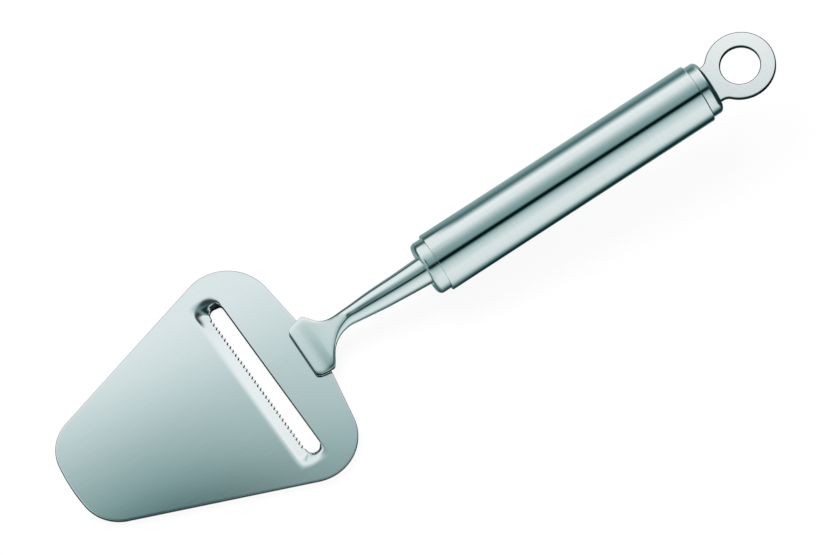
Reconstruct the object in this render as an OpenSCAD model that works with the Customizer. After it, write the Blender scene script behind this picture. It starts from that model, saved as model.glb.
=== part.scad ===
// Cheese slicer: a flat triangular blade with a serrated slicing slot,
// a bent shank with a foot on the blade, a round tube handle and a hanging eye.
// Millimetres. X runs from the blade's tip to the eye, Y across, Z up.
// The origin is on the underside of the blade, in the middle of the flat behind the slot.

/* [Blade] */
// Length from the tip to the middle of the rear edge
blade_length = 86.4; // [76:0.1:94]
// Greatest width, across the rounded rear corners
blade_width = 76.2; // [70:0.1:90]
// Thickness of the sheet
blade_thickness = 1.2; // [0.8:0.1:2]
// Angle of each side edge to the centre line, degrees
side_angle = 19.3; // [14:0.1:23]
// Angle that each half of the rear edge is swept forwards, degrees
rear_sweep = 8; // [0:0.1:12]
// Radius of the rear corners
rear_corner_radius = 14.8; // [10:0.1:18]
// Radius of the two corners at the tip, as a share of the blade's half width there
tip_corner_share = 0.86; // [0.5:0.01:0.9]
// Radius of the slightly bowed tip
tip_bow_radius = 61.5; // [45:0.5:80]

/* [Slot and lip] */
// Flat sole between the slot and the middle of the rear edge
sole_depth = 17.1; // [14:0.1:22]
// Open width from the tooth tips to the slot's rear edge
slot_width = 4.4; // [4.3:0.1:5.5]
// Angle that the slot is turned from square to the centre line, degrees
slot_angle = 2; // [-3:0.5:3]
// Flat rim between each end of the formed lip and the blade's side edge
rim_width = 3.8; // [3:0.1:6]
// Length of the slope from the flat blade down to the tooth tips
lip_length = 5.4; // [4:0.1:7]
// Drop of the tooth tips below the flat blade
lip_drop = 2; // [1.4:0.1:2.8]
// Width of the hollow beyond each end of the slot
lip_end = 4.1; // [3.5:0.1:6]
// Length of the slope at each end of the formed lip
end_slope = 5.3; // [4:0.1:6.5]
// Width of the rolled rim round each end of the slot
roll_width = 1.7; // [1.2:0.1:2.4]
// How far the rolled rim drops towards the lip's depth, as a share
roll_share = 0.8; // [0.5:0.05:0.9]
// Spacing of the teeth
tooth_pitch = 1.5; // [1.2:0.02:2.4]
// Depth of the notches between the teeth
tooth_depth = 0.8; // [0.4:0.1:1.2]

/* [Shank] */
// Height of the handle's axis over the blade, where it crosses the rear edge
axis_height = 5.2; // [4:0.1:8]
// Slope of the handle, degrees
handle_pitch = 9.4; // [5:0.1:14]
// Distance along the handle's axis from the rear edge to the front cap
neck_run = 37.3; // [30:0.1:50]
// Diameter of the shank where it meets the front cap
shank_diameter = 9; // [7:0.1:9.6]
// Diameter of the shank's waist, just above the foot
waist_diameter = 5.4; // [4.4:0.1:6.6]
// Diameter of the tang that runs into the front cap
tang_diameter = 7; // [5:0.1:7.6]
// Length of the tang from the cap's outer face
tang_length = 9; // [6:0.5:14]
// Width of the foot
foot_width = 19.4; // [16:0.1:24]
// Length of the foot that lies on the blade
foot_reach = 5.95; // [5:0.05:8]
// Sideways offset of the foot and waist from the handle's axis
foot_offset = 0.9; // [-1:0.1:1]
// Thickness of the foot at its front edge
foot_thickness = 1.6; // [1.2:0.1:2.2]

/* [Handle tube] */
// Outer diameter of the tube
tube_diameter = 19; // [17:0.1:24]
// Length of the tube
tube_length = 93.7; // [80:0.1:120]
// Wall of the tube
tube_wall = 0.8; // [0.7:0.05:1.2]
// Rounding of the tube's outer rims
tube_rim_radius = 0.3; // [0.2:0.05:0.5]

/* [End caps] */
// Length of each cap that shows beyond the tube
cap_step = 4.2; // [3:0.1:6]
// Length of each cap's skirt inside the tube
cap_skirt = 8; // [6:0.5:14]
// Wall of the skirt
cap_wall = 0.8; // [0.6:0.05:1.2]
// Thickness of a cap's end
cap_end = 1.2; // [1:0.1:1.6]
// Outer rounding of a cap's end
cap_radius = 1.6; // [1.2:0.1:1.8]
// Clearance of a cap in the tube, and of what passes through a cap
fit_clearance = 0.05; // [0.02:0.01:0.08]

/* [Hanging eye] */
// Outer diameter of the ring
eye_diameter = 21.6; // [19:0.1:26]
// Diameter of the hole
eye_hole = 12.1; // [9:0.1:13]
// Thickness of the plate
eye_thickness = 1.5; // [1.2:0.1:2]
// Gap between the rear cap's face and the ring
eye_gap = 0.3; // [0.2:0.1:4]
// Width of the eye's neck and tang
eye_neck_width = 12.6; // [10:0.1:12.8]
// Radius of the fillets between the neck and the ring
eye_fillet_radius = 3; // [2:0.1:4]
// Length of the eye's tang behind the rear cap's face
eye_tang_length = 8; // [5:0.5:12]

/* [Weld beads] */
// Leg of the bead round the shank's tang, inside the front cap
shank_bead = 1.2; // [0.8:0.1:1.6]
// Leg of the two beads along the eye's tang, inside the rear cap
eye_bead = 1.2; // [0.8:0.1:1.6]

/* [Hidden] */
$fn = 96;
overrun = 1;

// Places along X, from the origin
rear_x = sole_depth / 2;
slot_rear_x = -sole_depth / 2;
tooth_tip_x = slot_rear_x - slot_width;
bend_x = tooth_tip_x - lip_length;
tip_x = rear_x - blade_length;

// Places along the handle's axis, from the point over the blade's rear edge
tube_start = neck_run + cap_step;
tube_end = tube_start + tube_length;
rear_cap_face = tube_end + cap_step;
eye_offset = eye_gap + eye_diameter / 2;
eye_centre = rear_cap_face + eye_offset;

cap_outer_radius = tube_diameter / 2 - tube_wall - fit_clearance;
cap_length = cap_step + cap_skirt;

// Centres of the rear and tip corner arcs, on the side where Y is positive
rear_corner_y = blade_width / 2 - rear_corner_radius;
rear_corner = [rear_x - rear_corner_y * tan(rear_sweep) - rear_corner_radius / cos(rear_sweep), rear_corner_y];
bow_centre = [tip_x + tip_bow_radius, 0];
side_normal = [-sin(side_angle), cos(side_angle)];
side_run = [-cos(side_angle), -sin(side_angle)];
side_point = rear_corner + rear_corner_radius * side_normal;
function side_y(x) = side_point.y + (x - side_point.x) * tan(side_angle);
tip_corner_radius = tip_corner_share * side_y(tip_x);
corner_path = rear_corner + (rear_corner_radius - tip_corner_radius) * side_normal;
from_bow = corner_path - bow_centre;
path_reach = -from_bow * side_run;
corner_reach = tip_bow_radius - tip_corner_radius;
tip_corner_run = path_reach + sqrt(path_reach * path_reach - from_bow * from_bow + corner_reach * corner_reach);
tip_corner = corner_path + tip_corner_run * side_run;
tip_join_angle = atan2(tip_corner.y - bow_centre.y, tip_corner.x - bow_centre.x);

// Points of an arc, both ends included
function arc(centre, radius, from, to, steps) =
    [for (i = [0 : steps]) let (a = from + (to - from) * i / steps) centre + radius * [cos(a), sin(a)]];

// The edge of the blade from the tip's middle to the rear edge's middle
half_outline = concat(
    arc(bow_centre, tip_bow_radius, 180, tip_join_angle, 6),
    arc(tip_corner, tip_corner_radius, tip_join_angle, 90 + side_angle, 10),
    arc(rear_corner, rear_corner_radius, 90 + side_angle, rear_sweep, 16),
    [[rear_x, 0]]);
outline_count = len(half_outline);
blade_outline = concat(half_outline, [for (i = [outline_count - 2 : -1 : 1]) [half_outline[i].x, -half_outline[i].y]]);

// The formed channel round the slot: where it lies and how deep it is
channel_half = side_y(bend_x) - rim_width;
slot_length = 2 * (channel_half - lip_end);
slot_end_radius = slot_width / 2;
slot_end_y = slot_length / 2 - slot_end_radius;
slot_mid_x = slot_rear_x - slot_end_radius;
channel_rear_x = slot_rear_x + slot_width / 2;
bend_share = 0.25;
end_bend_share = 0.5;
corner_power = 3;
lip_columns = 14;
end_rows = 11;
function clamp01(v) = max(0, min(1, v));
function soften(v) = v * v * (3 - 2 * v);
function bend(v, k) = (v < k ? v * v / (2 * k) : v - k / 2) / (1 - k / 2);
function past_end(x, y) = norm([x - slot_mid_x, max(0, abs(y) - slot_end_y)]) - slot_end_radius;
function hollow_share(front, side) =
    let (f = pow(front, corner_power), s = pow(side, corner_power),
         k = bend_share + (end_bend_share - bend_share) * (f + s > 0 ? s / (f + s) : 0))
    bend(max(0, 1 - pow(f + s, 1 / corner_power)), k);
function lip_depth(x, y) =
    let (back = clamp01((slot_rear_x - x) / slot_width),
         front = 1 - clamp01((x - bend_x) / lip_length),
         side = 1 - clamp01((channel_half - abs(y)) / end_slope),
         hollow = hollow_share(front, side) * soften(back),
         rim = clamp01(1 - past_end(x, y) / roll_width),
         round_end = soften(clamp01(3 * back)) * soften(clamp01((abs(y) - slot_end_y) / slot_end_radius * 2)))
    lip_drop * (hollow + (1 - hollow) * roll_share * rim * rim * round_end);

// Teeth along the lip, symmetric about the centre line
tooth_count = 2 * floor((slot_length - slot_width) / tooth_pitch / 2);
tooth_run = tooth_count * tooth_pitch;
function tooth_points() =
    [for (i = [0 : 2 * tooth_count])
        [tooth_tip_x - (i % 2) * tooth_depth, -tooth_run / 2 + i * tooth_pitch / 2]];

// Rings of the shank. Each row: place, height of the middle, half width, half height, squareness,
// turn and sideways offset.
// In front of the rear edge the foot lies flat; places there are shares of foot_reach.
foot_place_shares = [-1, -0.99, -0.97, -0.93, -0.78, -0.5, -0.25];
foot_width_shares = [0.7, 0.75, 0.8, 0.85, 0.92, 0.96, 0.98];
foot_height_shares = [0.5, 0.76, 0.93, 1, 1, 1.01, 1.15];
foot_offset_shares = [0.25, 0.25, 0.25, 0.3, 0.4, 0.5, 0.65];
// Behind it the neck rises to the shank; places are shares of neck_run
neck_place_shares = [0, 0.03, 0.06, 0.09, 0.134, 0.188];
neck_width_shares = [0.98, 0.83, 0.64, 0.49, 0.37, 0.3];
neck_height_shares = [0.7, 0.785, 0.86, 0.94, 1.16, 1.375];
neck_rise_shares = [0.76, 1.005, 1.36, 1.82, 2.53, 3.375];
neck_square_shares = [0.85, 0.65, 0.42, 0.26, 0.12, 0.04];
neck_offset_shares = [0.75, 0.8, 0.85, 0.9, 0.95, 1];
// The round shank: diameter and sideways offset, as shares
shank_place_shares = [0.27, 0.36, 0.47, 0.6, 0.72, 0.85, 1];
shank_taper_shares = [0, 0.14, 0.36, 0.57, 0.69, 0.83, 1];
shank_offset_shares = [1, 0.85, 0.7, 0.45, 0.25, 0.1, 0];
foot_squareness = 10;
ring_points = 28;
ring_steps = 3;

function axis_z(x) = axis_height + x * tan(handle_pitch);
cap_face_x = neck_run * cos(handle_pitch);
stations = concat(
    [for (i = [0 : len(foot_place_shares) - 1]) let (h = foot_thickness / 2 * foot_height_shares[i])
        [foot_place_shares[i] * foot_reach, h, foot_width / 2 * foot_width_shares[i], h, foot_squareness, 0,
         foot_offset * foot_offset_shares[i]]],
    [for (i = [0 : len(neck_place_shares) - 1])
        [neck_place_shares[i] * neck_run, neck_rise_shares[i] * foot_thickness,
         foot_width / 2 * neck_width_shares[i], neck_height_shares[i] * foot_thickness,
         2 + (foot_squareness - 2) * neck_square_shares[i], 0, foot_offset * neck_offset_shares[i]]],
    [for (i = [0 : len(shank_place_shares) - 1])
        let (x = shank_place_shares[i] * cap_face_x,
             r = (waist_diameter + (shank_diameter - waist_diameter) * shank_taper_shares[i]) / 2)
        [x, axis_z(x), r, r, 2, handle_pitch * shank_taper_shares[i], foot_offset * shank_offset_shares[i]]]);

// A smooth curve through the stations
function blend(a, b, c, d, t) =
    b + t * ((c - a) / 2 + t * ((a - b * 2.5 + c * 2 - d / 2) + t * (b * 1.5 - a / 2 - c * 1.5 + d / 2)));
function row(i) = stations[max(0, min(len(stations) - 1, i))];
ring_rows = concat(
    [for (i = [0 : len(stations) - 2], k = [0 : ring_steps - 1])
        blend(row(i - 1), row(i), row(i + 1), row(i + 2), k / ring_steps)],
    [row(len(stations) - 1)]);
function rounded(v, squareness) = sign(v) * pow(abs(v), 2 / squareness);
function ring_point(r, angle) =
    let (side = r[2] * rounded(cos(angle), r[4]),
         up = r[3] * rounded(sin(angle), r[4]))
    [r[0] - up * sin(r[5]), side + r[6], max(0, r[1] + up * cos(r[5]))];
shank_points = [for (r = ring_rows, j = [0 : ring_points - 1]) ring_point(r, j * 360 / ring_points)];
ring_count = len(ring_rows);
shank_faces = concat(
    [[for (j = [0 : ring_points - 1]) j]],
    [for (i = [0 : ring_count - 2], j = [0 : ring_points - 1])
        let (k = (j + 1) % ring_points) [i * ring_points + j, (i + 1) * ring_points + j, (i + 1) * ring_points + k]],
    [for (i = [0 : ring_count - 2], j = [0 : ring_points - 1])
        let (k = (j + 1) % ring_points) [i * ring_points + j, (i + 1) * ring_points + k, i * ring_points + k]],
    [[for (j = [ring_points - 1 : -1 : 0]) (ring_count - 1) * ring_points + j]]);

// Puts its children on the blade's top face, at the middle of the rear edge
module on_blade() {
    translate([rear_x, 0, blade_thickness]) children();
}

// Puts its children on the handle's axis, with Z turned to run along it
module on_axis(place) {
    on_blade() translate([0, 0, axis_height]) rotate([0, -handle_pitch, 0])
        translate([place, 0, 0]) children();
}

// The open slot with its teeth, as a flat shape
module slot_shape() {
    polygon(concat(
        tooth_points(),
        arc([slot_mid_x, slot_end_y], slot_end_radius, 180, 0, 12),
        arc([slot_mid_x, -slot_end_y], slot_end_radius, 0, -180, 12)));
}

// Turns its children with the slot, about the middle of its rear edge
module turned(angle) {
    translate([slot_rear_x, 0]) rotate(angle) translate([-slot_rear_x, 0]) children();
}

// The sheet that slopes down to the teeth, with the hollow at each end
module formed_lip() {
    x_step = (channel_rear_x - bend_x) / lip_columns;
    y_step = (channel_half - slot_end_y) / end_rows;
    rows = 2 * end_rows + 1;
    places = concat(
        [for (j = [0 : end_rows]) -channel_half + j * y_step],
        [for (j = [0 : end_rows]) slot_end_y + j * y_step]);
    across = rows + 1;
    layer = across * (lip_columns + 1);
    grid = [for (i = [0 : lip_columns], y = places) [bend_x + i * x_step, y]];
    top = [for (p = grid) [p.x, p.y, blade_thickness - lip_depth(p.x, p.y)]];
    bottom = [for (p = grid) [p.x, p.y, -lip_depth(p.x, p.y)]];
    cells = [for (i = [0 : lip_columns - 1], j = [0 : rows - 1]) i * across + j];
    rim = concat(
        [for (i = [0 : lip_columns - 1]) i * across],
        [for (j = [0 : rows - 1]) lip_columns * across + j],
        [for (i = [lip_columns : -1 : 1]) i * across + rows],
        [for (j = [rows : -1 : 1]) j]);
    rim_count = len(rim);
    polyhedron(
        points = concat(top, bottom),
        faces = concat(
            [for (c = cells) [c, c + 1, c + across + 1]],
            [for (c = cells) [c, c + across + 1, c + across]],
            [for (c = cells) [layer + c, layer + c + across + 1, layer + c + 1]],
            [for (c = cells) [layer + c, layer + c + across, layer + c + across + 1]],
            [for (k = [0 : rim_count - 1]) let (a = rim[k], b = rim[(k + 1) % rim_count]) [a, b, layer + b, layer + a]]));
}

// Blade: flat sheet with the formed lip and the serrated slot
module blade() {
    color("silver") turned(slot_angle) difference() {
        union() {
            linear_extrude(blade_thickness) difference() {
                turned(-slot_angle) polygon(blade_outline);
                translate([bend_x, -channel_half])
                    square([channel_rear_x - bend_x, 2 * channel_half]);
            }
            formed_lip();
        }
        translate([0, 0, -lip_drop - overrun])
            linear_extrude(lip_drop + blade_thickness + 2 * overrun) slot_shape();
    }
}

// Shank: flattened foot, waist, tapered round bar and tang, in one forging
module shank() {
    color("gainsboro") union() {
        on_blade() polyhedron(points = shank_points, faces = shank_faces);
        on_axis(neck_run - overrun) rotate([0, 90, 0])
            cylinder(d = tang_diameter, h = tang_length + overrun);
    }
}

// Bead round the tang, in the corner with the cap's inner face
module shank_weld() {
    inner = tang_diameter / 2;
    color("darkgray") on_axis(neck_run + cap_end) rotate([0, 90, 0])
        rotate_extrude() polygon([[inner, 0], [inner + shank_bead, 0], [inner, shank_bead]]);
}

// Half section of a cap with its end at zero and its mouth up
module cap_section() {
    difference() {
        union() {
            translate([0, cap_radius]) square([cap_outer_radius, cap_length - cap_radius]);
            square([cap_outer_radius - cap_radius, cap_radius + overrun]);
            intersection() {
                translate([cap_outer_radius - cap_radius, cap_radius]) circle(cap_radius);
                square([cap_outer_radius, cap_length]);
            }
        }
        translate([0, cap_end]) square([cap_outer_radius - cap_wall, cap_length]);
    }
}

// Front cap: drawn cup with a round hole for the tang
module front_cap() {
    color("silver") on_axis(neck_run) rotate([0, 90, 0]) difference() {
        rotate_extrude() cap_section();
        translate([0, 0, -overrun]) cylinder(r = tang_diameter / 2 + fit_clearance, h = cap_end + 2 * overrun);
    }
}

// Handle tube with softened rims
module handle_tube() {
    outer = tube_diameter / 2;
    inner = outer - tube_wall;
    color("lightgray") on_axis(tube_start) rotate([0, 90, 0]) rotate_extrude() union() {
        translate([inner, 0]) square([tube_wall - tube_rim_radius, tube_length]);
        translate([inner, tube_rim_radius]) square([tube_wall, tube_length - 2 * tube_rim_radius]);
        for (rim = [tube_rim_radius, tube_length - tube_rim_radius])
            translate([outer - tube_rim_radius, rim]) circle(tube_rim_radius);
    }
}

// Rear cap: the same cup, with a slit for the eye's tang
module rear_cap() {
    slit = [eye_neck_width + 2 * fit_clearance, eye_thickness + 2 * fit_clearance];
    color("silver") on_axis(rear_cap_face) rotate([0, -90, 0]) difference() {
        rotate_extrude() cap_section();
        translate([-slit.y / 2, -slit.x / 2, -overrun]) cube([slit.y, slit.x, cap_end + 2 * overrun]);
    }
}

// Two beads along the eye's tang, in the corners with the cap's inner face
module eye_weld() {
    color("darkgray") on_axis(rear_cap_face - cap_end) for (side = [0, 1]) mirror([0, 0, side])
        translate([0, eye_neck_width / 2, eye_thickness / 2]) rotate([90, 0, 0])
            linear_extrude(eye_neck_width) polygon([[0, 0], [-eye_bead, 0], [0, eye_bead]]);
}

// Hanging eye: a stamped ring with a neck that runs on as the tang
module hanging_eye() {
    fillet_y = eye_neck_width / 2 + eye_fillet_radius;
    fillet_reach = eye_diameter / 2 + eye_fillet_radius;
    fillet_x = -sqrt(fillet_reach * fillet_reach - fillet_y * fillet_y);
    tang_start = -eye_offset - eye_tang_length;
    color("silver") on_axis(eye_centre) translate([0, 0, -eye_thickness / 2])
        linear_extrude(eye_thickness) difference() {
            union() {
                circle(d = eye_diameter);
                polygon([[0, 0], [fillet_x, fillet_y], [fillet_x, -fillet_y]]);
                translate([tang_start, -eye_neck_width / 2]) square([-tang_start, eye_neck_width]);
            }
            for (side = [-1, 1]) translate([fillet_x, side * fillet_y]) circle(eye_fillet_radius);
            circle(d = eye_hole);
        }
}

blade();
shank();
shank_weld();
front_cap();
handle_tube();
rear_cap();
eye_weld();
hanging_eye();
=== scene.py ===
import bpy
import math
from mathutils import Matrix, Vector
from mathutils.kdtree import KDTree


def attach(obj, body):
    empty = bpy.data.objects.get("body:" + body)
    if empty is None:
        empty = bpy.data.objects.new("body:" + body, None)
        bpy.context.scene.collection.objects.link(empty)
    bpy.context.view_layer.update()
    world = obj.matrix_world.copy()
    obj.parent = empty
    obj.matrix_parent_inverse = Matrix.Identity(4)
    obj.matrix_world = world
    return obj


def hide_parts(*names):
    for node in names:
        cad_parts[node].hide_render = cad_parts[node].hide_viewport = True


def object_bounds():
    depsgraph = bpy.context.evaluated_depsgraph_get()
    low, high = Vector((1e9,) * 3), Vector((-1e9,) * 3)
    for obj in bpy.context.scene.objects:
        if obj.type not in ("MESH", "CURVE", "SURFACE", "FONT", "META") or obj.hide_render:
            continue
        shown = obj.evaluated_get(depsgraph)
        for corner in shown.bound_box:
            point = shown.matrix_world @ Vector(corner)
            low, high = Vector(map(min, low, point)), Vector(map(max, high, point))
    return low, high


# Looks for the cheese slicer: satin and brushed stainless steel under a tent of soft light.
# The sizes are the model's own, in millimetres, and mm turns them into metres.
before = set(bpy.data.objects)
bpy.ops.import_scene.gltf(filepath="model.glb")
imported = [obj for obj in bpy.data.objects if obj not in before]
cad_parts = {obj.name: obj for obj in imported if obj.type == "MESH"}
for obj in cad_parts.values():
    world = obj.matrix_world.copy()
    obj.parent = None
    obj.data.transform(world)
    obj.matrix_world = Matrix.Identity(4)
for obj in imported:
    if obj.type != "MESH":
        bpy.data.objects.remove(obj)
cadBox = [list(corner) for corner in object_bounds()]
mm = 0.001
scene = bpy.context.scene
scene.view_settings.view_transform = "Standard"

# The handle's axis rises from above the blade's rear edge; shank, caps, tube, eye and their steels share it
handle = {"axisHeight": 5.2, "pitch": 9.4, "neckRun": 37.3}
pitch = math.radians(handle["pitch"])
alongHandle = Vector((math.cos(pitch), 0, math.sin(pitch)))
aboveHandle = Vector((-math.sin(pitch), 0, math.cos(pitch)))


# Modelling helpers

def pick(obj, *others):
    # Selects these objects and no others, with the first one active
    bpy.ops.object.select_all(action="DESELECT")
    for item in (obj, *others):
        item.select_set(True)
    bpy.context.view_layer.objects.active = obj


def editObject(obj):
    pick(obj)
    bpy.ops.object.mode_set(mode="EDIT")


def leaveEdit():
    bpy.ops.object.mode_set(mode="OBJECT")


def facesOutward(obj):
    editObject(obj)
    bpy.ops.mesh.select_all(action="SELECT")
    bpy.ops.mesh.normals_make_consistent(inside=False)
    leaveEdit()


def ringStart(name, points):
    # A circle primitive whose vertices are laid on the first ring of the piece
    bpy.ops.object.select_all(action="DESELECT")
    bpy.ops.mesh.primitive_circle_add(vertices=len(points), radius=0.01)
    obj = bpy.context.object
    obj.name = obj.data.name = name
    for vertex, point in zip(obj.data.vertices, points):
        vertex.co = point
    return obj


def ringStep(obj, points):
    # The open ring is extruded, and the new ring is laid on its own points
    editObject(obj)
    bpy.ops.mesh.extrude_region_move()
    leaveEdit()
    start = len(obj.data.vertices) - len(points)
    for k, point in enumerate(points):
        obj.data.vertices[start + k].co = point


def fillRing(obj, numbers):
    # Closes the ring of vertices that have these numbers with one face
    mesh = obj.data
    editObject(obj)
    bpy.ops.mesh.select_all(action="DESELECT")
    leaveEdit()
    for edge in mesh.edges:
        edge.select = edge.vertices[0] in numbers and edge.vertices[1] in numbers
    for number in numbers:
        mesh.vertices[number].select = True
    editObject(obj)
    bpy.ops.mesh.edge_face_add()
    leaveEdit()


def loft(name, rings, closed=False, ends=True):
    # A skin through rings of points; closed joins the last ring to the first
    obj = ringStart(name, rings[0])
    editObject(obj)
    bpy.ops.mesh.select_all(action="SELECT")
    leaveEdit()
    for ring in rings[1:]:
        ringStep(obj, ring)
    if closed:
        ringStep(obj, rings[0])
    elif ends:
        count, total = len(rings[0]), len(obj.data.vertices)
        fillRing(obj, range(count))
        fillRing(obj, range(total - count, total))
    if closed:
        editObject(obj)
        bpy.ops.mesh.select_all(action="SELECT")
        bpy.ops.mesh.remove_doubles(threshold=1e-7)
        leaveEdit()
    facesOutward(obj)
    return obj


def arc(centre, radius, fromAngle, toAngle, steps):
    angles = [math.radians(fromAngle + (toAngle - fromAngle) * k / steps) for k in range(steps + 1)]
    return [(centre[0] + radius * math.cos(a), centre[1] + radius * math.sin(a)) for a in angles]


def inset(points, distance):
    # A closed outline drawn in by a distance; it runs clockwise seen from above
    moved = []
    for k, (x, y) in enumerate(points):
        ax, ay = points[k - 1]
        bx, by = points[(k + 1) % len(points)]
        run = Vector((bx - ax, by - ay)).normalized()
        moved.append((x + run.y * distance, y - run.x * distance))
    return moved


def pointFinder(points):
    # Gives the number of the point that a place lies on, or nothing
    tree = KDTree(len(points))
    for k, point in enumerate(points):
        tree.insert(point, k)
    tree.balance()

    def find(place):
        _, number, distance = tree.find(place)
        return number if distance < 1e-6 else None
    return find


def addRim(obj, outline, place, thickness, rounding):
    # Takes out the straight wall under an outline and sews in one with rounded edges
    steps = [(2 * rounding, 0.0)]
    for degrees in range(0, 91, 30):
        a = math.radians(degrees)
        steps.append((rounding * (1 - math.sin(a)), rounding * (1 - math.cos(a))))
    steps += [(drawn, thickness - fall) for drawn, fall in reversed(steps)]
    rings = [[place(x, y, fall) for x, y in inset(outline, drawn)] for drawn, fall in steps]
    wall = loft("rimWall", rings, ends=False)
    mesh = obj.data
    find = pointFinder(rings[0] + rings[-1])
    onRim = [find(vertex.co) is not None for vertex in mesh.vertices]
    for item in [*mesh.vertices, *mesh.edges]:
        item.select = False
    for face in mesh.polygons:
        face.select = all(onRim[v] for v in face.vertices) and len(face.vertices) == 4
    bpy.context.tool_settings.mesh_select_mode = (False, False, True)
    editObject(obj)
    bpy.ops.mesh.delete(type="FACE")
    bpy.context.tool_settings.mesh_select_mode = (True, False, False)
    leaveEdit()
    pick(obj, wall)
    bpy.ops.object.join()
    editObject(obj)
    bpy.ops.mesh.select_all(action="SELECT")
    bpy.ops.mesh.remove_doubles(threshold=1e-6)
    leaveEdit()
    facesOutward(obj)


def smooth(obj, degrees):
    pick(obj)
    bpy.ops.object.shade_smooth_by_angle(angle=math.radians(degrees))


def finishPiece(obj, node, material, paintedShadeEdges=None, above=None, steep=1.0, paintedShadeUpTo=1.0):
    # Faces whose normal has less than steep along above, up to the X limit passed in, get the second, dark finish.
    # This is partly the real dullness of sheared edges and partly painted shade for the dark surroundings that these
    # edges and other steep faces reflect
    obj.data.materials.clear()
    obj.data.materials.append(material)
    if paintedShadeEdges:
        obj.data.materials.append(paintedShadeEdges)
        for face in obj.data.polygons:
            paintedShadeFace = abs(face.normal.dot(above)) < steep and face.center.x < paintedShadeUpTo
            face.material_index = 1 if paintedShadeFace else 0
    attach(obj, "root")
    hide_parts(node)
    print("made", obj.name, len(obj.data.polygons), "faces")


# Materials

def linear(hexColour):
    parts = [int(hexColour[k:k + 2], 16) / 255 for k in (1, 3, 5)]
    return [p / 12.92 if p <= 0.04045 else ((p + 0.055) / 1.055) ** 2.4 for p in parts] + [1.0]


def addNode(material, kind, values=None, links=None, **settings):
    # Adds one node, sets its settings and socket values, and links its inputs
    node = material.node_tree.nodes.new(kind)
    for key, value in settings.items():
        setattr(node, key, value)
    for key, value in (values or {}).items():
        node.inputs[key].default_value = value
    for key, source in (links or {}).items():
        material.node_tree.links.new(source, node.inputs[key])
    return node


def newMaterial(name):
    material = bpy.data.materials.new(name)
    material.use_nodes = True
    material.node_tree.nodes.clear()
    return material


def steel(name, colour, roughness, grain, grainSize, grainDepth, mottle, tilt=0.0):
    # grain is how long the scratches are along X, Y and Z, in millimetres, once turned by tilt about Y
    material = newMaterial(name)
    uneven = 0.03  # how far the roughness strays from its value
    place = addNode(material, "ShaderNodeTexCoord")
    turned = addNode(material, "ShaderNodeMapping", {"Rotation": (0, tilt, 0)}, {"Vector": place.outputs["Object"]})
    stretched = addNode(material, "ShaderNodeMapping", {"Scale": [1 / (g * mm) for g in grain]},
                        {"Vector": turned.outputs["Vector"]})
    lines = addNode(material, "ShaderNodeTexNoise", {"Scale": 1.0, "Detail": 3.0, "Roughness": 0.6},
                    {"Vector": stretched.outputs["Vector"]})
    bumped = addNode(material, "ShaderNodeBump", {"Strength": grainDepth, "Distance": grainSize * mm},
                     {"Height": lines.outputs["Fac"]})
    spread = addNode(material, "ShaderNodeMapRange",
                     {"From Min": 0.3, "From Max": 0.7, "To Min": roughness - uneven, "To Max": roughness + uneven},
                     {"Value": lines.outputs["Fac"]})
    base = linear(colour)
    worn = [c * (1 - mottle) for c in base[:3]] + [1.0]
    tone = addNode(material, "ShaderNodeMix", {6: worn, 7: base}, {0: lines.outputs["Fac"]}, data_type="RGBA")
    shader = addNode(material, "ShaderNodeBsdfPrincipled", {"Metallic": 1.0},
                     {"Base Color": tone.outputs[2], "Roughness": spread.outputs["Result"],
                      "Normal": bumped.outputs["Normal"]})
    addNode(material, "ShaderNodeOutputMaterial", None, {"Surface": shader.outputs["BSDF"]})
    return material


# Cold-rolled sheet with a fine satin grain along the blade: one soft gradient, no sharp reflections
satinSheetSteel = steel("satinSheetSteel", "#E1ECED", 0.13, (8.0, 0.25, 0.25), 0.02, 0.12, 0.1)
# Drop-forged and polished bar: bright bands with a dark core, smoother than the sheet
polishedForgedSteel = steel("polishedForgedSteel", "#E2ECEC", 0.12, (3.0, 1.5, 1.5), 0.05, 0.06, 0.03)
# Drawn tube, belt-brushed around its girth: crisp bands along the tube, faint rings round it
brushedTubeSteel = steel("brushedTubeSteel", "#E4EDEE", 0.06, (0.3, 20.0, 20.0), 0.02, 0.12, 0.11, pitch)
# Deep-drawn caps, spun and polished: the tube's rings and bands, a little softer
spunCapSteel = steel("spunCapSteel", "#E2ECEC", 0.12, (0.4, 20.0, 20.0), 0.02, 0.12, 0.11, pitch)
# Stamped and tumbled plate: pale, finely mottled face with softened rims
tumbledPlateSteel = steel("tumbledPlateSteel", "#EFF5F5", 0.22, (0.5, 0.5, 0.5), 0.08, 0.3, 0.12, pitch)
# Sheared and trimmed edges of sheet and forging, torn and dull, and the steep faces beside them: much darker than the
# faces, partly the real dullness of a cut edge and partly painted shade for the dark surroundings they reflect
shearedEdgePaintedShadeSteel = steel("shearedEdgePaintedShadeSteel", "#363E3F", 0.38, (0.3, 0.3, 1.0), 0.03, 0.15, 0.15)
# Weld bead: dull, slightly rippled and oxidised, hidden inside the caps
dullWeldMetal = steel("dullWeldMetal", "#8E9291", 0.45, (0.5, 0.5, 0.5), 0.1, 0.4, 0.2)
print("materials ready")


# Blade: rings of faces spread from the slot's edge over the lip and hollows, then the flat sheet

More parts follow.
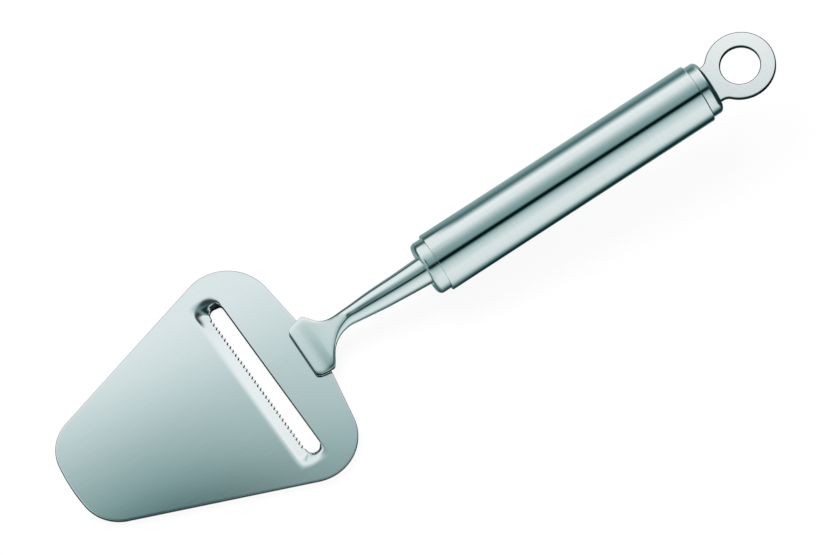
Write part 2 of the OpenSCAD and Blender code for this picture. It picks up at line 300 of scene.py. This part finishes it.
blade = {
    "length": 86.4, "width": 76.2, "thickness": 1.2,
    "sideAngle": 19.3, "rearSweep": 8.0,
    "rearCornerRadius": 14.8, "tipCornerShare": 0.86, "tipBowRadius": 61.5,
    "edgeRounding": 0.3, "paintedShadeSteepness": 0.78,
}
slot = {
    "soleDepth": 17.1, "width": 4.4, "turn": 2.0, "rimWidth": 3.8, "rearBorder": 4.0,
    "lipLength": 5.4, "lipDrop": 2.0, "bendShare": 0.25,
    "endWidth": 4.1, "endSlope": 5.3, "endBendShare": 0.5, "cornerPower": 3.0,
    "rollWidth": 1.7, "rollShare": 0.8, "rollFade": 0.5, "edgeRounding": 0.15,
    "toothPitch": 1.5, "toothDepth": 0.8, "toothPower": 0.8,
}
bladeTop = blade["thickness"]
sweepAngle, sideAngle = math.radians(blade["rearSweep"]), math.radians(blade["sideAngle"])
sideNormal = Vector((-math.sin(sideAngle), math.cos(sideAngle)))
rearX = slot["soleDepth"] / 2
rearCornerY = blade["width"] / 2 - blade["rearCornerRadius"]
rearCorner = Vector((rearX - rearCornerY * math.tan(sweepAngle) - blade["rearCornerRadius"] / math.cos(sweepAngle),
                     rearCornerY))
sidePoint = rearCorner + sideNormal * blade["rearCornerRadius"]
tipX = rearX - blade["length"]
tipCornerRadius = blade["tipCornerShare"] * (sidePoint.y + (tipX - sidePoint.x) * math.tan(sideAngle))
slotRearX = -slot["soleDepth"] / 2
toothTipX = slotRearX - slot["width"]
bendX = toothTipX - slot["lipLength"]
rearBorderX = slotRearX + slot["rearBorder"]
channelHalf = sidePoint.y + (bendX - sidePoint.x) * math.tan(sideAngle) - slot["rimWidth"]
slotEndRadius = slot["width"] / 2
slotEndY = channelHalf - slot["endWidth"] - slotEndRadius
slotMidX = slotRearX - slotEndRadius


def clamp01(v):
    return max(0.0, min(1.0, v))


def soften(v):
    return v * v * (3 - 2 * v)


def bend(v, k):
    # From nothing to one: a soft start over the share k, then a straight slope
    return (v * v / (2 * k) if v < k else v - k / 2) / (1 - k / 2)


def lipDepth(x, y):
    # How far the top face is pressed down: the hollow of the lip, and the roll round the slot's ends
    back = clamp01((slotRearX - x) / slot["width"])
    front = 1 - clamp01((x - bendX) / slot["lipLength"])
    side = 1 - clamp01((channelHalf - abs(y)) / slot["endSlope"])
    power = slot["cornerPower"]
    f, s = front ** power, side ** power
    k = slot["bendShare"] + (slot["endBendShare"] - slot["bendShare"]) * (s / (f + s) if f + s > 0 else 0)
    hollow = bend(max(0.0, 1 - (f + s) ** (1 / power)), k) * soften(back)
    past = math.hypot(x - slotMidX, max(0.0, abs(y) - slotEndY)) - slotEndRadius
    rim = clamp01(1 - past / slot["rollWidth"])
    roll = slot["rollShare"] * rim * rim * soften(clamp01(3 * back))
    roll *= soften(clamp01((abs(y) - slotEndY) / slotEndRadius * 2))
    # On the teeth's side the hollow is deep already, and the roll fades into it
    roll *= soften(clamp01((x - toothTipX + slot["rollFade"]) / slotEndRadius))
    return slot["lipDrop"] * (hollow + (1 - hollow) * roll)


def slotPoint(x, y, fall=0.0):
    # From the slot's own straight place to its turned place on the blade, and fall below its top face
    turn = math.radians(slot["turn"])
    dx = x - slotRearX
    return Vector((slotRearX + dx * math.cos(turn) - y * math.sin(turn),
                   dx * math.sin(turn) + y * math.cos(turn), bladeTop - (lipDepth(x, y) + fall))) * mm


def bladeOutline():
    # Half the outline from the tip to the rear, then its mirror image
    bowCentre = Vector((tipX + blade["tipBowRadius"], 0))
    cornerPath = rearCorner + sideNormal * (blade["rearCornerRadius"] - tipCornerRadius)
    run = Vector((-math.cos(sideAngle), -math.sin(sideAngle)))
    fromBow = cornerPath - bowCentre
    reach = blade["tipBowRadius"] - tipCornerRadius
    tipRun = -fromBow.dot(run) + math.sqrt(fromBow.dot(run) ** 2 - fromBow.length_squared + reach * reach)
    tipCorner = cornerPath + run * tipRun
    join = math.degrees(math.atan2(tipCorner.y - bowCentre.y, tipCorner.x - bowCentre.x))
    toSide = 90 + blade["sideAngle"]
    half = (arc(bowCentre, blade["tipBowRadius"], 180, join, steps=16)
            + arc(tipCorner, tipCornerRadius, join, toSide, steps=28)[1:]
            + arc(rearCorner, blade["rearCornerRadius"], toSide, blade["rearSweep"], steps=40)
            + [(rearX, 0.0)])
    return half + [(x, -y) for x, y in reversed(half[1:-1])]


def toothEdge():
    # Scalloped teeth along the lip, rounded tips and gullets
    slotLength = 2 * (slotEndY + slotEndRadius)
    teeth = 2 * math.floor((slotLength - slot["width"]) / slot["toothPitch"] / 2)
    perTooth = 8  # points
    points = [(toothTipX, -slotEndY)]
    for k in range(teeth * perTooth + 1):
        y = -teeth * slot["toothPitch"] / 2 + k * slot["toothPitch"] / perTooth
        wave = 0.5 - 0.5 * math.cos(2 * math.pi * k / perTooth)
        points.append((toothTipX - slot["toothDepth"] * wave ** slot["toothPower"], y))
    return points + [(toothTipX, slotEndY)]


def slotEdge():
    # Once round the slot: teeth, +Y end, rear edge, -Y end
    rearSteps = 60
    plusEnd = arc((slotMidX, slotEndY), slotEndRadius, 180, 0, steps=28)[1:]
    rearEdge = [(slotRearX, slotEndY - k * 2 * slotEndY / rearSteps) for k in range(1, rearSteps)]
    minusEnd = arc((slotMidX, -slotEndY), slotEndRadius, 0, -180, steps=28)[:-1]
    return toothEdge() + plusEnd + rearEdge + minusEnd


def outward(x, y, share):
    # Where a point of the slot's edge goes to, this share of the way to the channel's border
    if abs(y) > slotEndY:
        # leave the round end on a ray, up to the first border it meets
        away = Vector((x - slotMidX, abs(y) - slotEndY)).normalized()
        limits = [(channelHalf - slotEndY) / away.y]
        if away.x < -1e-6:
            limits.append((slotMidX - bendX) / -away.x)
        if away.x > 1e-6:
            limits.append((rearBorderX - slotMidX) / away.x)
        d = slotEndRadius + (min(limits) - slotEndRadius) * share
        return slotMidX + away.x * d, math.copysign(slotEndY + away.y * d, y)
    border = rearBorderX if x > slotMidX else bendX
    return x + (border - x) * share, y


def makeBlade():
    edge = slotEdge()
    count = len(edge)
    # The slot's upper edge is softened by three rings: how far out and how far down each one lies
    softened = slot["edgeRounding"]
    softRings = [(0.0, 2 * softened), (0.3 * softened, 0.8 * softened), (softened, 0.0)]
    # The rings over lip and hollows follow, and one more that lies on flat sheet
    shares = [0.08, 0.12, 0.17, 0.23, 0.3, 0.38, 0.46, 0.55, 0.64, 0.73, 0.82, 0.91, 1.0, 1.06]
    rings = [[slotPoint(x, y, fall) for x, y in inset(edge, -out)] for out, fall in softRings]
    rings += [[slotPoint(*outward(x, y, share)) for x, y in edge] for share in shares]
    obj = loft("bladeSheet", rings, ends=False)
    border = bladeOutline()
    drawn = inset(border, 2 * blade["edgeRounding"])
    flat = ringStart("bladeOutline", [Vector((x, y, bladeTop)) * mm for x, y in drawn])
    pick(obj, flat)
    bpy.ops.object.join()

    # The flat sheet between the channel's border and the outline
    mesh = obj.data
    channel = range(count * (len(rings) - 1), count * len(rings))
    rim = range(count * len(rings), len(mesh.vertices))
    for vertex in mesh.vertices:
        vertex.select = vertex.index in channel or vertex.index in rim
    for item in mesh.edges:
        a, b = item.vertices
        item.select = (a in channel and b in channel) or (a in rim and b in rim)
    for face in mesh.polygons:
        face.select = False
    editObject(obj)
    bpy.ops.mesh.fill(use_beauty=True)
    leaveEdit()
    facesOutward(obj)
    if sum(face.normal.z * face.area for face in mesh.polygons) < 0:
        editObject(obj)
        bpy.ops.mesh.select_all(action="SELECT")
        bpy.ops.mesh.flip_normals()
        leaveEdit()

    # The sheet's thickness, straight down
    down = Vector((0, 0, -blade["thickness"] * mm))
    editObject(obj)
    bpy.ops.mesh.select_all(action="SELECT")
    bpy.ops.mesh.extrude_region_move(TRANSFORM_OT_translate={"value": tuple(down)})
    leaveEdit()
    facesOutward(obj)
    # Only the upper edge is softened: underneath, its first two rings go back up to the sheet's own level
    find = pointFinder([point + down for point in rings[0] + rings[1]])
    for vertex in mesh.vertices:
        number = find(vertex.co)
        if number is not None:
            vertex.co.z += softRings[number // count][1] * mm
        vertex.co.z = max(vertex.co.z, cadBox[0][2])
    addRim(obj, border, lambda x, y, fall: Vector((x, y, bladeTop - fall)) * mm,
           blade["thickness"], blade["edgeRounding"])
    smooth(obj, 40)
    return obj


# The blade's outline, slot walls and the steep faces of the roll round the slot's ends get the dark edge finish, which
# is painted shade
finishPiece(makeBlade(), "blade", satinSheetSteel, shearedEdgePaintedShadeSteel,
            Vector((0, 0, 1)), blade["paintedShadeSteepness"])


# Places along the handle's axis, counted from above the blade's rear edge

handleStart = Vector((rearX, 0, blade["thickness"] + handle["axisHeight"]))


def onAxis(place, across=0.0, above=0.0):
    # A point beside the handle's axis, in metres
    return (handleStart + alongHandle * place + Vector((0, across, 0)) + aboveHandle * above) * mm


def turnedRing(place, radius, sides):
    angles = [2 * math.pi * k / sides for k in range(sides)]
    return [onAxis(place, radius * math.cos(a), radius * math.sin(a)) for a in angles]


# Shank: one smooth skin from the foot through the waist to the cap

shank = {
    "diameter": 9.0, "waist": 5.4, "tangDiameter": 7.0, "tangLength": 9.0,
    "footWidth": 19.4, "footReach": 5.95, "footThickness": 1.6, "footOffset": 0.9, "footSquareness": 10.0,
    "sides": 72, "paintedShadeSteepness": 0.56,
    # Up to this far past the blade's rear edge, the shank's steep faces get the dark edge finish, which is painted
    # shade
    "paintedShadePast": 4.0,  # how far the foot's cut edge runs past the blade's rear edge
}
# Stations as shares of those sizes: the foot's of its reach, the others of the run to the cap
footStations = {
    "places": [-1, -0.99, -0.97, -0.93, -0.78, -0.5, -0.25], "widths": [0.7, 0.75, 0.8, 0.85, 0.92, 0.96, 0.98],
    "heights": [0.5, 0.76, 0.93, 1, 1, 1.01, 1.15], "offsets": [0.25, 0.25, 0.25, 0.3, 0.4, 0.5, 0.65],
}
neckStations = {
    "places": [0, 0.03, 0.06, 0.09, 0.134, 0.188], "widths": [0.98, 0.83, 0.64, 0.49, 0.37, 0.3],
    "heights": [0.7, 0.785, 0.86, 0.94, 1.16, 1.375], "rises": [0.76, 1.005, 1.36, 1.82, 2.53, 3.375],
    "squares": [0.85, 0.65, 0.42, 0.26, 0.12, 0.04], "offsets": [0.75, 0.8, 0.85, 0.9, 0.95, 1],
}
barStations = {
    "places": [0.27, 0.36, 0.47, 0.6, 0.72, 0.85, 1], "tapers": [0, 0.14, 0.36, 0.57, 0.69, 0.83, 1],
    "offsets": [1, 0.85, 0.7, 0.45, 0.25, 0.1, 0],
}


def shankStations():
    # Each row: place, height of the middle, half width, half height, squareness, lean in degrees, offset
    rows = []
    thick, wide, shift = shank["footThickness"], shank["footWidth"] / 2, shank["footOffset"]
    for place, width, height, offset in zip(*footStations.values()):
        half = thick / 2 * height
        rows.append([place * shank["footReach"], half, wide * width, half, shank["footSquareness"], 0.0,
                     shift * offset])
    for place, width, height, rise, square, offset in zip(*neckStations.values()):
        rows.append([place * handle["neckRun"], rise * thick, wide * width, height * thick,
                     2 + (shank["footSquareness"] - 2) * square, 0.0, shift * offset])
    capX = handle["neckRun"] * math.cos(pitch)
    for place, taper, offset in zip(*barStations.values()):
        x = place * capX
        radius = (shank["waist"] + (shank["diameter"] - shank["waist"]) * taper) / 2
        rows.append([x, handle["axisHeight"] + x * math.tan(pitch), radius, radius, 2.0,
                     handle["pitch"] * taper, shift * offset])
    return rows


def between(rows, steps):
    # More rows on a smooth curve through the given ones
    made = []
    for k in range(len(rows) - 1):
        a, b, c, d = (rows[max(0, min(len(rows) - 1, k + n))] for n in (-1, 0, 1, 2))
        for step in range(steps):
            t = step / steps
            made.append([q + t * ((r - p) / 2 + t * (p - 2.5 * q + 2 * r - s / 2
                                                     + t * (1.5 * q - p / 2 - 1.5 * r + s / 2)))
                         for p, q, r, s in zip(a, b, c, d)])
    return made + [rows[-1]]


def shankRings():
    rings = []
    for x, middle, halfWidth, halfHeight, square, lean, offset in between(shankStations(), steps=6):
        ring = []
        tilt = math.radians(lean)
        for k in range(shank["sides"]):
            angle = 2 * math.pi * k / shank["sides"]
            c, s = math.cos(angle), math.sin(angle)
            across = halfWidth * math.copysign(abs(c) ** (2 / square), c)
            up = halfHeight * math.copysign(abs(s) ** (2 / square), s)
            ring.append(Vector((rearX + x - up * math.sin(tilt), across + offset,
                                bladeTop + max(0.0, middle + up * math.cos(tilt)))) * mm)
        rings.append(ring)
    return rings


# The tang follows on the bar in the same skin, stepped in at the cap's face
tangRings = [turnedRing(handle["neckRun"] + place, shank["tangDiameter"] / 2, shank["sides"])
             for place in (0, shank["tangLength"])]
shankPiece = loft("shankBar", shankRings() + tangRings)
smooth(shankPiece, 35)
# The shank's steep sides near the foot get the dark edge finish, which is painted shade
finishPiece(shankPiece, "shank", polishedForgedSteel, shearedEdgePaintedShadeSteel,
            Vector((0, 0, 1)), shank["paintedShadeSteepness"], (rearX + shank["paintedShadePast"]) * mm)


# Caps and tube: sections that are turned about the handle's axis

tube = {"diameter": 19.0, "length": 93.7, "wall": 0.8, "rimRounding": 0.3, "edgeLoop": 0.05, "sides": 160}
cap = {
    "step": 4.2, "skirt": 8.0, "wall": 0.8, "end": 1.2, "rounding": 1.6, "clearance": 0.05,
    "edgeBreak": 0.1, "sides": 128,
    "tangHole": 7.1, "tangSlit": (12.7, 1.6),  # 0.1 more than the tangs that go through them
}
tubeStart = handle["neckRun"] + cap["step"]
rearCapFace = tubeStart + tube["length"] + cap["step"]


def holeRing(place):
    return turnedRing(place, cap["tangHole"] / 2, cap["sides"])


def slitRing(place):
    # The slit's outline, with its points on the same rays as a round ring's
    wide, high = cap["tangSlit"]
    ring = []
    for k in range(cap["sides"]):
        angle = 2 * math.pi * k / cap["sides"]
        c, s = math.cos(angle), math.sin(angle)
        reach = 1 / max(abs(c) / (wide / 2), abs(s) / (high / 2))
        ring.append(onAxis(place, reach * c, reach * s))
    return ring


def capRings(face, inward, opening):
    # Once round the cap's section, from the opening out, along the skirt and back inside
    outer = tube["diameter"] / 2 - tube["wall"] - cap["clearance"]
    inner = outer - cap["wall"]
    length = cap["step"] + cap["skirt"]
    rounding, small = cap["rounding"], cap["edgeBreak"]
    corner = arc((rounding, outer - rounding), rounding, 180, 90, steps=10)
    section = [(0, outer - rounding - small)] + corner
    section += [(rounding + 2 * small, outer), (length - 3 * small, outer), (length, outer - small),
                (length, inner + small), (length - small, inner), (cap["end"], inner), (cap["end"], inner - 2 * small)]
    rings = [turnedRing(face + inward * place, radius, cap["sides"]) for place, radius in section]
    return [opening(face)] + rings + [opening(face + inward * cap["end"])]


frontCapPiece = loft("frontCapCup", capRings(handle["neckRun"], 1, holeRing), closed=True)
rearCapPiece = loft("rearCapCup", capRings(rearCapFace, -1, slitRing), closed=True)
for piece, node in ((frontCapPiece, "front_cap"), (rearCapPiece, "rear_cap")):
    smooth(piece, 35)
    finishPiece(piece, node, spunCapSteel)


def tubeRings():
    outer, length, rim = tube["diameter"] / 2, tube["length"], tube["rimRounding"]
    inner, near = outer - tube["wall"], tube["edgeLoop"]
    section = [(0, inner), (0, outer - rim - near)]
    section += arc((rim, outer - rim), rim, 180, 90, steps=5)
    section += [(rim + 3 * near, outer), (length / 2, outer), (length - rim - 3 * near, outer)]
    section += arc((length - rim, outer - rim), rim, 90, 0, steps=5)
    section += [(length, inner)]
    return [turnedRing(tubeStart + place, radius, tube["sides"]) for place, radius in section]


tubePiece = loft("gripTube", tubeRings(), closed=True)
smooth(tubePiece, 35)
finishPiece(tubePiece, "handle_tube", brushedTubeSteel)


# Hanging eye: a stamped outline with its hole, given thickness and softened rims

eye = {
    "diameter": 21.6, "hole": 12.1, "thickness": 1.5, "gap": 0.3,
    "neckWidth": 12.6, "filletRadius": 3.0, "tangLength": 8.0, "rimRounding": 0.3, "paintedShadeSteepness": 0.97,
}
eyeOffset = eye["gap"] + eye["diameter"] / 2
eyeCentre = rearCapFace + eyeOffset


def eyeOutline():
    # Round the ring, down the fillet to the neck and along the tang, then back on the other side
    outer, half = eye["diameter"] / 2, eye["neckWidth"] / 2
    filletY = half + eye["filletRadius"]
    filletX = -math.sqrt((outer + eye["filletRadius"]) ** 2 - filletY ** 2)
    touch = math.degrees(math.atan2(filletY, filletX))
    back = math.degrees(math.atan2(-filletY, -filletX))
    ring = arc((0, 0), outer, -touch, touch, steps=90)
    upper = arc((filletX, filletY), eye["filletRadius"], back, -90, steps=12)[1:]
    upper.append((-eyeOffset - eye["tangLength"], half))
    outline = ring + upper + [(x, -y) for x, y in reversed(upper)]
    return outline[::-1]


def makeEye():
    top = eye["thickness"] / 2
    outline = eyeOutline()
    holeEdge = arc((0, 0), eye["hole"] / 2, 0, 360, steps=72)[:-1]
    drawn = 2 * eye["rimRounding"]
    obj = ringStart("eyePlate", [onAxis(eyeCentre + x, y, top) for x, y in inset(outline, drawn)])
    hole = ringStart("eyeHole", [onAxis(eyeCentre + x, y, top) for x, y in inset(holeEdge, drawn)])
    pick(obj, hole)
    bpy.ops.object.join()
    editObject(obj)
    bpy.ops.mesh.select_all(action="SELECT")
    bpy.ops.mesh.fill(use_beauty=True)
    bpy.ops.mesh.select_all(action="SELECT")
    bpy.ops.mesh.extrude_region_move(TRANSFORM_OT_translate={"value": tuple(-aboveHandle * eye["thickness"] * mm)})
    leaveEdit()
    facesOutward(obj)
    for edge in (outline, holeEdge):
        addRim(obj, edge, lambda x, y, fall: onAxis(eyeCentre + x, y, top - fall),
               eye["thickness"], eye["rimRounding"])
    smooth(obj, 40)
    return obj


# The eye's rims and walls get the dark edge finish, which is painted shade
finishPiece(makeEye(), "hanging_eye", tumbledPlateSteel, shearedEdgePaintedShadeSteel,
            aboveHandle, eye["paintedShadeSteepness"])

# The weld beads lie inside the caps and keep their solids
for node in ("shank_weld", "eye_weld"):
    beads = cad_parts[node]
    beads.data.materials.clear()
    beads.data.materials.append(dullWeldMetal)


# Floor, light tent, black card, lamp and camera

def settled(name):
    # Names the object just added and puts its place and size into its mesh
    obj = bpy.context.object
    obj.name = name
    bpy.ops.object.transform_apply(location=True, rotation=True, scale=True)
    return obj


def glossyOnly(obj):
    # Only reflections show it
    obj.visible_camera = obj.visible_diffuse = obj.visible_shadow = False
    obj.visible_transmission = obj.visible_volume_scatter = False


def paperMaterial():
    # White paper sweep: lit for its shadow, and white where the camera and the metal see it
    material = newMaterial("whitePaperSweep")
    rays = addNode(material, "ShaderNodeLightPath")
    seen = addNode(material, "ShaderNodeMath", None,
                   {0: rays.outputs["Is Camera Ray"], 1: rays.outputs["Is Glossy Ray"]}, operation="MAXIMUM")
    either = addNode(material, "ShaderNodeMath", None,
                     {0: seen.outputs[0], 1: rays.outputs["Is Transmission Ray"]}, operation="MAXIMUM")
    share = addNode(material, "ShaderNodeMath", {1: 0.9}, {0: either.outputs[0]}, operation="MULTIPLY")
    paper = addNode(material, "ShaderNodeBsdfDiffuse", {"Color": linear("#F4F5F5")})
    glow = addNode(material, "ShaderNodeEmission", {"Color": (1, 1, 1, 1), "Strength": 1.0})
    both = addNode(material, "ShaderNodeMixShader", None,
                   {0: share.outputs[0], 1: paper.outputs[0], 2: glow.outputs[0]})
    addNode(material, "ShaderNodeOutputMaterial", None, {"Surface": both.outputs[0]})
    return material


floorSize = 6000.0
floorLevel = cadBox[0][2]
bpy.ops.object.select_all(action="DESELECT")
bpy.ops.mesh.primitive_plane_add(size=floorSize * mm, location=(0, 0, floorLevel))
floor = settled("paleFloor")
floor.data.materials.append(paperMaterial())

# Angle about the handle from straight up, positive to +Y, and the strength of the light there
cameraSide = [(-161, 0.2), (-150, 0.02), (-142, 0.02), (-134, 0.08), (-126, 0.33), (-119, 0.62), (-112, 0.85),
              (-100, 0.93), (-74, 0.95), (-50, 0.75), (-44, 0.66), (-38, 0.52), (-33, 0.3), (-29, 0.01), (-20, 0.01)]
tent = {
    "radius": 130.0, "fromX": -420.0, "toX": 520.0, "sides": 96,
    "floorX": 60.0, "floorLength": 900.0, "floorWidth": 600.0, "floorRise": 0.3,
    "overTip": [(-161, 0.2), (-119, 0.62), (-100, 0.93), (-50, 0.75), (-38, 0.52), (-29, 0.02), (-20, 0.02),
                (-14, 0.2), (0, 0.14), (8, 0.06), (11, 0.18), (14, 0.32), (17, 0.45), (20, 0.53), (23, 0.64),
                (27, 0.78), (30, 0.88), (33, 0.96), (36, 1.0), (74, 1.0), (84, 0.2), (90, 0.05), (170, 0.4)],
    "overBlade": cameraSide + [(-16, 0.25), (-12, 0.34), (0, 0.42), (8, 0.52), (11, 0.6), (14, 0.66), (18, 0.71),
                               (24, 0.76), (27, 0.84), (30, 0.88), (36, 0.98), (74, 1.0), (84, 0.2), (90, 0.05),
                               (109, 0.4), (170, 0.4)],
    "overHandle": cameraSide + [(-16, 0.27), (-12, 0.36), (0, 0.44), (8, 0.56), (30, 0.95), (54, 1.05), (62, 0.85),
                                (70, 0.5), (78, 0.24), (86, 0.17), (109, 0.4), (124, 0.52), (170, 0.4)],
    "beyondEye": [(-60, 0.03), (-20, 0.08), (-4, 0.3), (10, 0.75), (22, 1.02), (33, 1.1), (60, 1.08), (90, 0.4)],
    "beyondTip": [(-161, 0.2), (-119, 0.62), (-50, 0.75), (-38, 0.5), (-29, 0.02), (-22, 0.02), (-16, 0.4),
                  (11, 0.66), (33, 0.8), (60, 0.85), (80, 0.2), (90, 0.05), (170, 0.4)],
    "pastTip": [(-180, 0.3), (0, 0.3), (180, 0.3)],
    "pastEye": [(-180, 0.05), (0, 0.03), (180, 0.05)],
    # Along the handle, where each one starts to take over and where it has
    "overBladeFrom": (-30.0, 57.0), "overHandleFrom": (52.0, 64.0), "beyondEyeFrom": (152.0, 168.0),
    "beyondTipFrom": (-50.0, -75.0), "pastTipFrom": (-235.0, -255.0), "pastEyeFrom": (245.0, 265.0),
}


def tentMaterial():
    # Cloth tent with softboxes and a black slit for the lens: the darker it is, the cooler it looks
    material = newMaterial("softLightTent")
    coolness = 1.4
    place = addNode(material, "ShaderNodeTexCoord")
    centred = addNode(material, "ShaderNodeVectorMath", {1: tuple(-handleStart * mm)},
                      {0: place.outputs["Object"]}, operation="ADD")
    turned = addNode(material, "ShaderNodeVectorRotate", {"Angle": pitch, "Axis": (0, 1, 0), "Center": (0, 0, 0)},
                     {"Vector": centred.outputs[0]}, rotation_type="AXIS_ANGLE")
    parts = addNode(material, "ShaderNodeSeparateXYZ", None, {0: turned.outputs[0]})
    angle = addNode(material, "ShaderNodeMath", None, {0: parts.outputs["Y"], 1: parts.outputs["Z"]},
                    operation="ARCTAN2")
    share = addNode(material, "ShaderNodeMapRange", {"From Min": -math.pi, "From Max": math.pi},
                    {"Value": angle.outputs[0]})

    def lightRound(name):
        ramp = addNode(material, "ShaderNodeValToRGB", None, {"Fac": share.outputs[0]})
        stops = ramp.color_ramp.elements
        while len(stops) < len(tent[name]):
            stops.new(0.5)
        for stop, (degrees, strength) in zip(stops, tent[name]):
            stop.position = 0.5 + degrees / 360
            stop.color = (strength ** coolness, strength, strength, 1)
        return ramp.outputs[0]

    shown = lightRound("overTip")
    for name in ("overBlade", "overHandle", "beyondEye", "beyondTip", "pastTip", "pastEye"):
        start, end = tent[name + "From"]
        along = addNode(material, "ShaderNodeMapRange", {"From Min": start * mm, "From Max": end * mm},
                        {"Value": parts.outputs["X"]}, interpolation_type="SMOOTHSTEP")
        both = addNode(material, "ShaderNodeMix", None, {0: along.outputs[0], 6: shown, 7: lightRound(name)},
                       data_type="RGBA")
        shown = both.outputs[2]
    glow = addNode(material, "ShaderNodeEmission", None, {"Color": shown})
    addNode(material, "ShaderNodeOutputMaterial", None, {"Surface": glow.outputs[0]})
    return material


def tentRing(place):
    angles = [2 * math.pi * k / tent["sides"] for k in range(tent["sides"])]
    return [onAxis(place - rearX, tent["radius"] * math.sin(a), tent["radius"] * math.cos(a)) for a in angles]


tentPiece = loft("lightTent", [tentRing(place) for place in (tent["fromX"], 0, tent["toX"])])
smooth(tentPiece, 60)
bpy.ops.object.select_all(action="DESELECT")
bpy.ops.mesh.primitive_plane_add(size=1, location=(tent["floorX"] * mm, 0, floorLevel + tent["floorRise"] * mm))
bpy.context.object.scale = (tent["floorLength"] * mm, tent["floorWidth"] * mm, 1)
tentFloor = settled("tentFloor")
tentGlow = tentMaterial()
for piece in (tentPiece, tentFloor):
    piece.data.materials.append(tentGlow)
    glossyOnly(piece)

# A small black card with a feathered edge over the slot's +Y end keeps the hollow there dark
flag = {"centreX": -11.9, "centreY": 29.6, "height": 4.0, "full": 1.2, "fades": 3.4}
flagCentre = Vector((flag["centreX"], flag["centreY"], bladeTop + flag["height"])) * mm


def flagMaterial():
    # Black flocked card: it takes the shine out of the hollow, softly towards its edge
    material = newMaterial("blackFlocking")
    place = addNode(material, "ShaderNodeTexCoord")
    away = addNode(material, "ShaderNodeVectorMath", {1: flagCentre}, {0: place.outputs["Object"]},
                   operation="DISTANCE")
    fade = addNode(material, "ShaderNodeMapRange", {"From Min": flag["full"] * mm, "From Max": flag["fades"] * mm},
                   {"Value": away.outputs["Value"]}, interpolation_type="SMOOTHSTEP")
    dim = addNode(material, "ShaderNodeEmission", {"Color": linear("#384242"), "Strength": 1.0})
    clear = addNode(material, "ShaderNodeBsdfTransparent")
    both = addNode(material, "ShaderNodeMixShader", None,
                   {0: fade.outputs["Result"], 1: dim.outputs[0], 2: clear.outputs[0]})
    addNode(material, "ShaderNodeOutputMaterial", None, {"Surface": both.outputs[0]})
    return material


bpy.ops.object.select_all(action="DESELECT")
bpy.ops.mesh.primitive_circle_add(vertices=48, radius=flag["fades"] * mm, fill_type="NGON", location=flagCentre)
card = settled("blackFlag")
card.data.materials.append(flagMaterial())
glossyOnly(card)

world = bpy.data.worlds.new("paleStudio")
scene.world = world
world.use_nodes = True
background = world.node_tree.nodes["Background"]
background.inputs["Color"].default_value = (1, 1, 1, 1)
background.inputs["Strength"].default_value = 0.7

softbox = {"width": 1200.0, "depth": 800.0, "watts": 20, "place": (-300.0, 600.0, 1600.0), "aim": (40.0, 0.0, 0.0)}
lamp = bpy.data.objects.new("softbox", bpy.data.lights.new("softbox", "AREA"))
lamp.data.shape = "RECTANGLE"
lamp.data.size, lamp.data.size_y = softbox["width"] * mm, softbox["depth"] * mm
lamp.data.energy = softbox["watts"]
lamp.visible_glossy = False
lamp.location = Vector(softbox["place"]) * mm
lamp.rotation_euler = (Vector(softbox["aim"]) * mm - lamp.location).to_track_quat("-Z", "Y").to_euler()
scene.collection.objects.link(lamp)

# The photograph's long lens: where it stands, and which way right and up are in its picture
view = {
    "lens": 259.3, "sensorWidth": 36, "nearest": 0.1, "farthest": 20, "place": (-360.26, -650.65, 1630.08),
    "right": (0.848515, -0.529170, -0.001504), "up": (0.478978, 0.766818, 0.427283),
}
camera = bpy.data.objects.new("camera", bpy.data.cameras.new("camera"))
camera.data.sensor_width = view["sensorWidth"]
camera.data.lens = view["lens"]
camera.data.clip_start, camera.data.clip_end = view["nearest"], view["farthest"]
right, up = Vector(view["right"]), Vector(view["up"])
aimed = Matrix((right, up, right.cross(up))).transposed().to_4x4()
aimed.translation = Vector(view["place"]) * mm
camera.matrix_world = aimed
scene.collection.objects.link(camera)
scene.camera = camera
print("stage, light and camera ready")
